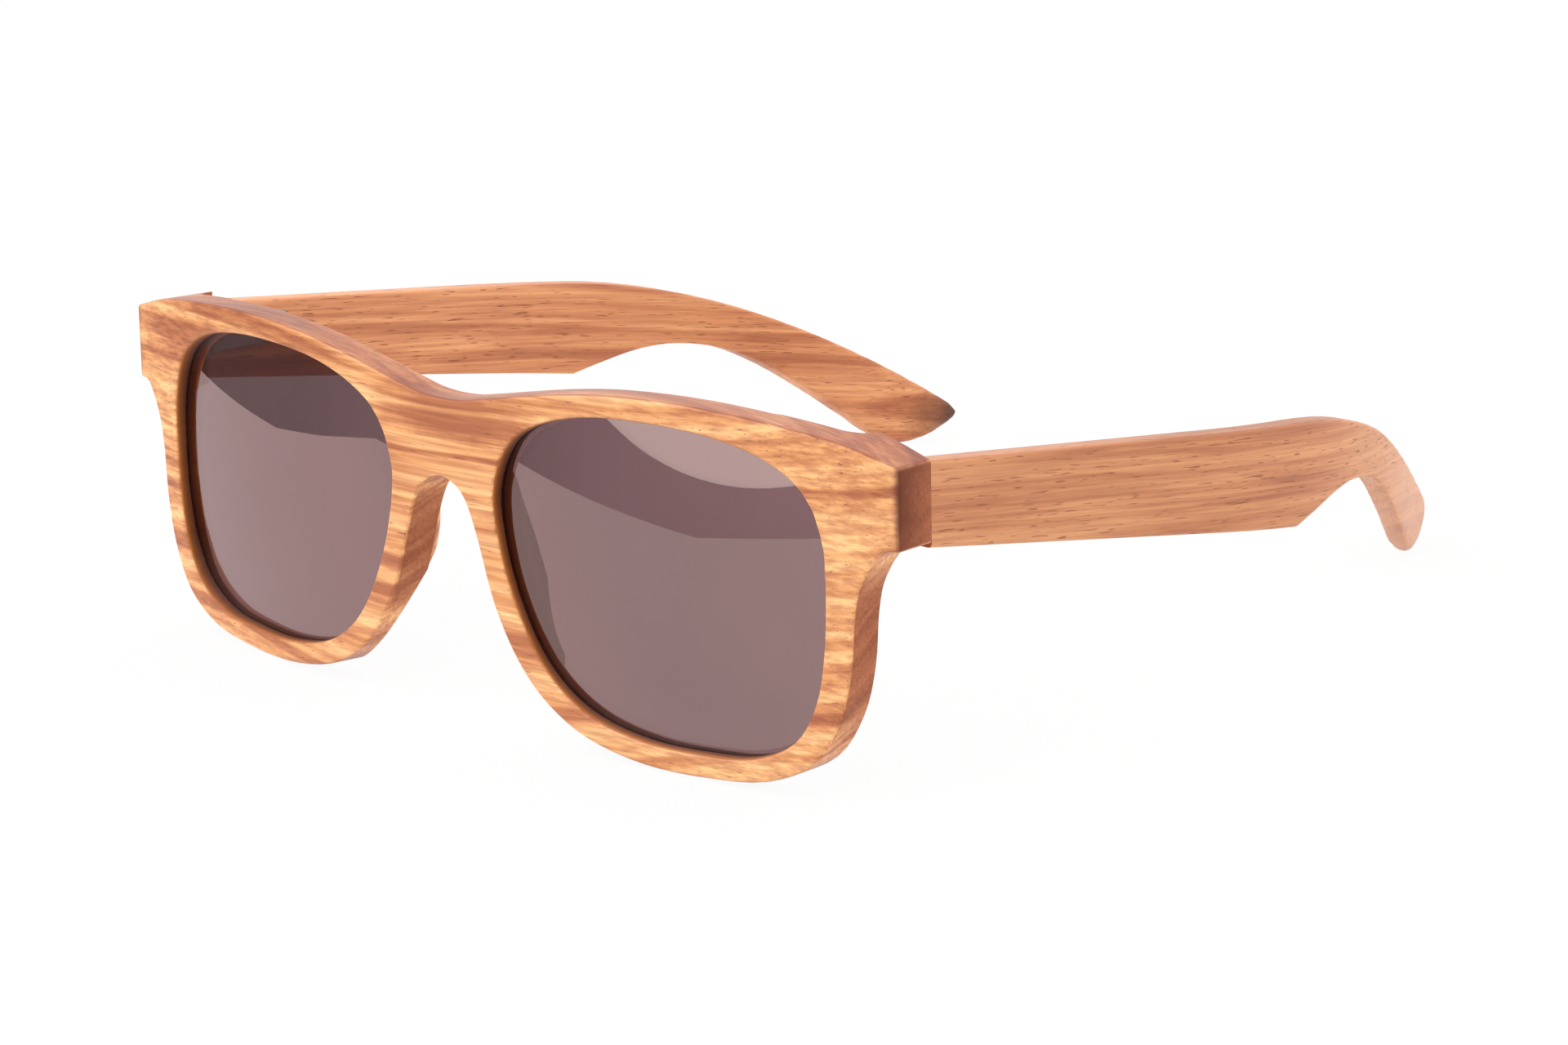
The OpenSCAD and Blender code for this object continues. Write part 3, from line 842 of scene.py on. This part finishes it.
@dataclass
class Front:
    """The bent front: one board with two grooved lens openings and carved nose pads."""

    dresser: Dresser
    bend_radius: float = 333 * MM
    bend_axis: Point = (0.0, 265.036 * MM, 8.288 * MM)
    rim: float = 4.5 * MM
    butt: float = 13.948 * MM
    lens_x: float = 36.1 * MM
    lens_z: float = 22.9 * MM
    lens_reach: float = 31 * MM
    rounding: float = 0.45 * MM
    pad_to: float = 20 * MM
    fillet_from: float = 52 * MM
    end_from: float = 70 * MM
    bridge_from: float = 36 * MM
    leaf_room: float = 0.5 * MM
    light: Colour = (0.92, 0.49, 0.21)
    middle: Colour = (0.74, 0.315, 0.116)
    dark: Colour = (0.47, 0.148, 0.050)

    def outward(self, point: Vector) -> Vector:
        """The vector from the bend's axis to a point.

        Args:
            point: the point.

        Returns:
            The vector square to the axis.
        """
        away = point - Vector(self.bend_axis)
        return away - UPWARD * away.dot(UPWARD)

    def depth(self, point: Vector) -> float:
        """Depth of a point behind the bent face.

        Args:
            point: the point.

        Returns:
            The depth.
        """
        return self.bend_radius - self.outward(point).length

    def on_butt(self, point: Vector, slack: float = ON_FACE) -> bool:
        """Says whether a point lies on a butt, the flat end that meets a temple.

        Args:
            point: the point.
            slack: how far before the butt it may lie.

        Returns:
            True on a butt.
        """
        behind = (point - Vector(self.bend_axis)).dot(BACKWARD) + self.bend_radius
        return behind > self.butt - slack

    def near_hinge(self, point: Vector) -> bool:
        """Says whether a point lies at a hinge leaf or on a butt.

        Args:
            point: the point.

        Returns:
            True near a hinge.
        """
        if self.on_butt(point):
            return True
        room = self.leaf_room
        for side in Side:
            low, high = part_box(f"hinge_leaf_{side.word}")
            if all(low[k] - room < point[k] < high[k] + room for k in range(3)):
                return True
        return False

    def from_lens(self, point: Vector) -> Vector:
        """The vector across the board from the nearer lens's middle to a point.

        Args:
            point: the point.

        Returns:
            The vector along X and Z.
        """
        return Vector((point.x - math.copysign(self.lens_x, point.x), 0.0, point.z - self.lens_z))

    def outer_edge(self, edge: bmesh.types.BMEdge) -> bool:
        """Says whether an edge bounds the board's face, the outline of its back or an endpiece's end.

        Args:
            edge: the edge.

        Returns:
            True for an edge to round over.
        """
        depths = [self.depth(vert.co) for vert in edge.verts]
        if max(map(abs, depths)) < ON_FACE:
            return True
        middle = middle_of(edge)
        out = self.outward(middle).normalized()
        walls = [face for face in edge.link_faces if abs(face.normal.dot(out)) < 0.25]
        if len(walls) == 2 and abs(middle.x) > self.end_from:
            return not self.near_hinge(middle)
        outline = any(face.normal.dot(self.from_lens(middle)) > 0 for face in walls)
        beside = self.pad_to < abs(middle.x) < self.fillet_from
        bridge = abs(middle.x) <= self.pad_to and middle.z > self.bridge_from
        return outline and min(depths) > self.rim - ON_FACE and (beside or bridge)

    def open_pockets(self, shape: bmesh.types.BMesh) -> None:
        """Takes the skins without thickness off the mouths of the leaf pockets.

        Args:
            shape: the front's mesh.
        """
        for side in Side:
            skins = {face for face in shape.faces if face.calc_center_median().x * side.value > 0
                     and all(self.on_butt(vert.co, SLIVER) for vert in face.verts)}
            rings = [edge for edge in shape.edges if sum(face in skins for face in edge.link_faces) == 1]
            bmesh.ops.delete(shape, geom=list(skins), context="FACES")
            bmesh.ops.triangle_fill(shape, use_beauty=True, edges=rings)
            LOG.info("pocket %s: %d skins, %d edges", side.word, len(skins), len(rings))
        bmesh.ops.recalc_face_normals(shape, faces=shape.faces)

    def scorch(self, shape: bmesh.types.BMesh) -> None:
        """Marks the walls of the lens openings, which the cutter has scorched and which get painted shade.

        Args:
            shape: the front's mesh.
        """
        layer = shape.loops.layers.float.new("scorch")
        for face in shape.faces:
            middle = face.calc_center_median()
            out = self.from_lens(middle)
            inside = out.length < self.lens_reach and face.normal.dot(out.normalized()) < -0.3
            deepest = self.rim if abs(middle.x) > self.pad_to else 2 * self.rim
            if inside and 0.02 * MM < self.depth(middle) < deepest:
                for loop in face.loops:
                    loop[layer] = 1.0

    def finish(self) -> bpy.types.Material:
        """Builds the front's golden wood.

        Returns:
            The material.
        """
        burn_and_shade = Scorch(self.bend_axis, tuple(UPWARD), self.bend_radius)
        # The front's top and bottom faces get painted shade through the up-and-down factor.
        wood = WoodFinish("front_wood", Grain.ACROSS_FRONT, self.light, self.middle, self.dark,
                          edge_tone=0.55, pore_share=0.69, patches=FRONT_PATCHES, scorch=burn_and_shade)
        return wood.material()

    def build(self) -> bpy.types.Object:
        """Makes the front.

        Returns:
            The piece.
        """
        shape = self.dresser.merged("frame_front")
        count = round_over(shape, self.rounding, self.outer_edge)
        LOG.info("front: %d edges rounded", count)
        self.open_pockets(shape)
        mend(shape)
        self.scorch(shape)
        return self.dresser.place("front_wood", shape, "frame_front", self.finish())


@dataclass(frozen=True)
class TempleLook:
    """What sets one temple's wood apart: where its board was cut, how dark it is, which on the near temple
    is painted shade, and its patches.
    """

    start: Point
    tone: float
    patches: Sequence[Patch]


# Painted highlight: the pale pink that the back light lays on the near temple's ear end.
EAR_PAINTED_HIGHLIGHT = (0.72, 0.40, 0.265)
# Painted shade on the far temple's rounded tip.
TIP_PAINTED_SHADE = (0.07, 0.024, 0.013)
TEMPLE_LOOKS = {
    # The near temple's colours are scaled to 0.85: painted shade on a copy of the same wood as the far one.
    Side.LEFT: TempleLook((40.0, 17.0, 55.0), 0.85, (
        Patch((60.0, 45.0, 18.0), (20.0, 34.0, 22.0), -0.16),
        Patch((48.0, 60.0, 10.0), (24.0, 26.0, 30.0), 0.62, EAR_PAINTED_HIGHLIGHT))),
    Side.RIGHT: TempleLook((-60.0, 90.0, -25.0), 1.0, (
        Patch((-45.0, 64.0, 6.0), (9.0, 13.0, 8.0), 0.2),
        Patch((-69.0, -8.0, 26.5), (6.0, 32.0, 2.6), -0.13),
        Patch((-50.0, 52.0, 14.0), (14.0, 18.0, 14.0), -0.12),
        Patch((-42.5, 68.0, 3.6), (8.0, 11.5, 6.5), 0.9, TIP_PAINTED_SHADE))),
}


@dataclass
class Temple:
    """One paddle temple, bent inwards behind the ear and sanded round at its tip."""

    dresser: Dresser
    side: Side
    light: Colour = (0.73, 0.322, 0.138)
    middle: Colour = (0.62, 0.240, 0.096)
    dark: Colour = (0.47, 0.158, 0.060)
    bent_from: float = -3.7 * MM
    rounding: float = 0.6 * MM
    housing_room: float = 0.4 * MM
    grit: float = 0.6 * MM
    halvings: int = 6
    sanded: float = 28 * MM
    strokes: int = 76

    @property
    def node(self) -> str:
        """Name of the temple's node."""
        return f"temple_{self.side.word}"

    def outer_edge(self, edge: bmesh.types.BMEdge) -> bool:
        """Says whether an edge bounds the temple's outline behind the hinge.

        Args:
            edge: the edge.

        Returns:
            True for an edge to round over.
        """
        sides = sum(1 for face in edge.link_faces if abs(face.normal.x) > 0.7)
        ends = sum(1 for face in edge.link_faces if face.normal.y < -0.7)
        middle = middle_of(edge)
        room = self.housing_room
        low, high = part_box(f"spring_housing_{self.side.word}")
        clear = middle.z < low[2] - room or middle.z > high[2] + room or middle.y > high[1] + room
        return sides == 1 and ends == 0 and clear

    def sand(self, shape: bmesh.types.BMesh) -> None:
        """Softens the ear end, more and more towards its tip.

        Args:
            shape: the temple's mesh.
        """
        tip = max(vert.co.y for vert in shape.verts)
        start = tip - self.sanded - 2 * MM
        mend(shape)
        for _ in range(self.halvings):
            broad = [face for face in shape.faces if len(face.verts) > 3
                     and max(vert.co.y for vert in face.verts) > start]
            bmesh.ops.triangulate(shape, faces=broad)
            long = [edge for edge in shape.edges
                    if edge.calc_length() > self.grit and min(vert.co.y for vert in edge.verts) > start]
            bmesh.ops.subdivide_edges(shape, edges=long, cuts=1)
        split_faces(shape)
        for stroke in range(self.strokes):
            reach = self.sanded * (1 - stroke / self.strokes) ** 2
            near = [vert for vert in shape.verts if vert.co.y > tip - reach]
            bmesh.ops.smooth_vert(shape, verts=near, factor=0.5,
                                  use_axis_x=True, use_axis_y=True, use_axis_z=True)
        mend(shape)

    def finish(self) -> bpy.types.Material:
        """Builds the temple's redder wood.

        Returns:
            The material.
        """
        look = TEMPLE_LOOKS[self.side]
        # On the near temple this scaling is painted shade.
        colours = (tuple(look.tone * channel for channel in colour)
                   for colour in (self.light, self.middle, self.dark))
        wood = WoodFinish(f"temple_wood_{self.side.word}", Grain.ALONG_TEMPLE, *colours, start=look.start,
                          wander=5.0, depth_share=0.3, pore_share=0.645, lines=(0.87, 1.08),
                          patches=look.patches, bent_from=self.bent_from)
        return wood.material()

    def build(self) -> bpy.types.Object:
        """Makes the temple.

        Returns:
            The piece.
        """
        shape = self.dresser.merged(self.node)
        count = round_over(shape, self.rounding, self.outer_edge)
        LOG.info("%s: %d edges rounded", self.node, count)
        self.sand(shape)
        return self.dresser.place(f"{self.node}_wood", shape, self.node, self.finish())


@dataclass
class Lens:
    """One smoke lens, a shell between two spheres."""

    dresser: Dresser
    side: Side

    def build(self, material: bpy.types.Material) -> bpy.types.Object:
        """Makes the lens with the smooth normals of its spheres.

        Args:
            material: the smoke finish.

        Returns:
            The piece.
        """
        node = f"lens_{self.side.word}"
        shape = self.dresser.merged(node)
        piece = self.dresser.place(f"{node}_smoke", shape, node, material)
        mesh = piece.data
        points = np.array([vert.co for vert in mesh.vertices])
        normals = [Vector(corner.vector) for corner in mesh.corner_normals]
        for facing in (-1, 1):
            faces = [face for face in mesh.polygons if face.normal.y * facing > 0.6]
            centre = self.sphere_centre(points[sorted({v for face in faces for v in face.vertices})])
            for face in faces:
                for loop in face.loop_indices:
                    out = (mesh.vertices[mesh.loops[loop].vertex_index].co - centre).normalized()
                    normals[loop] = out if out.dot(face.normal) > 0 else -out
        mesh.normals_split_custom_set(normals)
        return piece

    @staticmethod
    def sphere_centre(points: np.ndarray) -> Vector:
        """Finds the centre of the sphere through points.

        Args:
            points: rows of coordinates.

        Returns:
            The centre.
        """
        rows = np.column_stack([2 * points, np.ones(len(points))])
        answer = np.linalg.lstsq(rows, (points ** 2).sum(axis=1), rcond=None)[0]
        return Vector(answer[:3])


@dataclass
class Hinges:
    """The steel pieces of both sprung hinges."""

    dresser: Dresser
    edge: float = 0.09 * MM
    edge_angle: float = math.radians(50)
    wire_sharp: float = 70.0
    travel: float = 1.5 * MM

    def build(self) -> None:
        """Softens the plates and housings, and gives every steel piece its finish."""
        plate = SteelFinish("hinge_steel").material()
        screw = SteelFinish("screw_steel", pale=(0.80, 0.78, 0.74), deep=(0.60, 0.58, 0.55),
                            rough=(0.16, 0.3)).material()
        wire = SteelFinish("spring_steel", pale=(0.50, 0.50, 0.52), deep=(0.34, 0.34, 0.36)).material()
        for side in Side:
            for kind in ("hinge_leaf", "spring_housing", "hinge_slider"):
                self.soften(f"{kind}_{side.word}", plate)
            for kind in ("leaf_screws", "housing_screws", "pivot_screw"):
                self.dresser.paint(f"{kind}_{side.word}", screw)
            for kind in ("slider_nut", "stop_collar"):
                self.dresser.paint(f"{kind}_{side.word}", plate)
            self.coil(side, wire)

    def coil(self, side: Side, material: bpy.types.Material) -> None:
        """Replaces a spring by a smoothly shaded copy with its own mesh.

        Args:
            side: the spring's side.
            material: its finish.
        """
        node = f"hinge_spring_{side.word}"
        shape = self.dresser.merged(node)
        piece = self.dresser.place(f"{node}_wire", shape, node, material, sharp=self.wire_sharp)
        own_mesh(piece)

    def soften(self, node: str, material: bpy.types.Material) -> None:
        """Replaces a plate or housing by one with softened edges.

        Args:
            node: the node's name.
            material: its finish.
        """
        piece = self.dresser.place(f"{node}_steel", self.dresser.merged(node), node, material)
        bevel = piece.modifiers.new("softened_edges", "BEVEL")
        bevel.width = self.edge
        bevel.segments = 2
        bevel.limit_method = "ANGLE"
        bevel.angle_limit = self.edge_angle


@dataclass(frozen=True)
class Lamp:
    """A soft lamp: where it hangs, the point that it faces, its width, its watts and its shape."""

    name: str
    place: Point
    aim: Point
    size: float
    power: float
    shape: str

    def hang(self) -> None:
        """Hangs the lamp."""
        light = bpy.data.lights.new(self.name, "AREA")
        light.shape = self.shape
        light.size = self.size
        light.energy = self.power
        lamp = bpy.data.objects.new(self.name, light)
        lamp.location = self.place
        lamp.rotation_euler = (Vector(self.aim) - Vector(self.place)).to_track_quat("-Z", "Y").to_euler()
        bpy.context.scene.collection.objects.link(lamp)


LAMPS = (Lamp("key_softbox", (-0.38, -0.87, 0.50), (0.03, -0.05, 0.02), 1.24, 8.9, "DISK"),
         Lamp("side_softbox", (1.05, 0.35, 0.45), (0.05, 0.0, 0.02), 0.8, 2.0, "SQUARE"))


@dataclass
class Studio:
    """White sheet, soft lamps and the camera.

    The sheet's front edge is cut to the shape of the pale bands that the lenses mirror.
    """

    sheet: Sequence[tuple[float, float]] = (
        (-1.5, 0.12), (-0.30, -0.11), (-0.22, -0.155), (-0.217, -0.19), (-0.225, -0.25), (-0.057, -0.238),
        (-0.017, -0.32), (0.1, -0.56), (1.5, -0.56), (1.5, 1.8), (-1.5, 1.8))
    sheet_below: float = 0.05 * MM
    room: tuple[float, float] = (0.10, 1.35)
    camera_at: Point = (0.45786784, -0.43641408, 0.18676781)
    camera_turn: Point = (74.36703, 2.85795, 46.20051)
    focal: float = 112.5

    def build(self) -> None:
        """Sets up the sheet, the surroundings, the lamps and the camera."""
        self.lay_sheet()
        self.light_world()
        for lamp in LAMPS:
            lamp.hang()
        self.set_camera()

    def lay_sheet(self) -> None:
        """Lays the white sheet that the glasses stand on."""
        shape = bmesh.new()
        shape.faces.new([shape.verts.new((x, y, -self.sheet_below)) for x, y in self.sheet])
        mesh = bpy.data.meshes.new("sheet")
        shape.to_mesh(mesh)
        shape.free()
        sheet = bpy.data.objects.new("sheet", mesh)
        bpy.context.scene.collection.objects.link(sheet)
        material, graph = new_material("white_sheet")
        seen = self.seen_share(graph, glossy=True)
        paper = graph.add("ShaderNodeBsdfDiffuse", {"Color": (0.88, 0.88, 0.88)})
        glow = graph.add("ShaderNodeEmission", {"Color": (1.0, 1.0, 1.0), "Strength": 1.0})
        mix = graph.add("ShaderNodeMixShader", {0: graph.math("MULTIPLY", seen, 0.94),
                                                1: paper.outputs[0], 2: glow.outputs[0]})
        graph.add("ShaderNodeOutputMaterial", {"Surface": mix.outputs[0]})
        mesh.materials.append(material)

    @staticmethod
    def seen_share(graph: NodeGraph, glossy: bool) -> Socket:
        """One for the rays that show a surface rather than light one.

        Args:
            graph: the graph to add to.
            glossy: whether mirrored rays count too.

        Returns:
            The share.
        """
        path = graph.add("ShaderNodeLightPath").outputs
        seen = graph.math("MAXIMUM", path["Is Camera Ray"], path["Is Transmission Ray"])
        return graph.math("MAXIMUM", seen, path["Is Glossy Ray"]) if glossy else seen

    def light_world(self) -> None:
        """Surrounds the scene with white behind and above, and a dim room in front."""
        world = bpy.data.worlds.new("studio")
        bpy.context.scene.world = world
        world.use_nodes = True
        graph = NodeGraph(world.node_tree)
        way = graph.split(graph.add("ShaderNodeTexCoord").outputs["Generated"])
        lean = graph.math("MULTIPLY_ADD", way["Y"], 0.8, graph.math("MULTIPLY", way["Z"], 0.9))
        strength = graph.span(lean, -0.15, 0.5, *self.room)
        room = graph.add("ShaderNodeBackground", {"Color": (1.0, 0.95, 0.91), "Strength": strength})
        white = graph.add("ShaderNodeBackground", {"Color": (1.0, 1.0, 1.0), "Strength": 1.0})
        seen = self.seen_share(graph, glossy=False)
        mix = graph.add("ShaderNodeMixShader", {0: seen, 1: room.outputs[0], 2: white.outputs[0]})
        graph.add("ShaderNodeOutputWorld", {"Surface": mix.outputs[0]})

    def set_camera(self) -> None:
        """Sets the camera to the photograph's view."""
        data = bpy.data.cameras.new("camera")
        data.sensor_width = 36.0
        data.lens = self.focal
        data.clip_start = 0.01
        camera = bpy.data.objects.new("camera", data)
        camera.location = self.camera_at
        camera.rotation_euler = [math.radians(angle) for angle in self.camera_turn]
        bpy.context.scene.collection.objects.link(camera)
        bpy.context.scene.camera = camera
        bpy.context.scene.view_settings.view_transform = "Standard"


def main() -> None:
    """Loads the frame, dresses every piece and sets up the studio."""
    logging.basicConfig(level=logging.INFO, format="%(name)s: %(message)s")
    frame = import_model()
    dresser = Dresser(frame)
    Front(dresser).build()
    for side in Side:
        Temple(dresser, side).build()
    smoke = LensFinish().material()
    for side in Side:
        Lens(dresser, side).build(smoke)
    Hinges(dresser).build()
    Studio().build()
    for name in dresser.made:
        LOG.info("dressed %s", name)


if __name__ == "__main__":
    main()
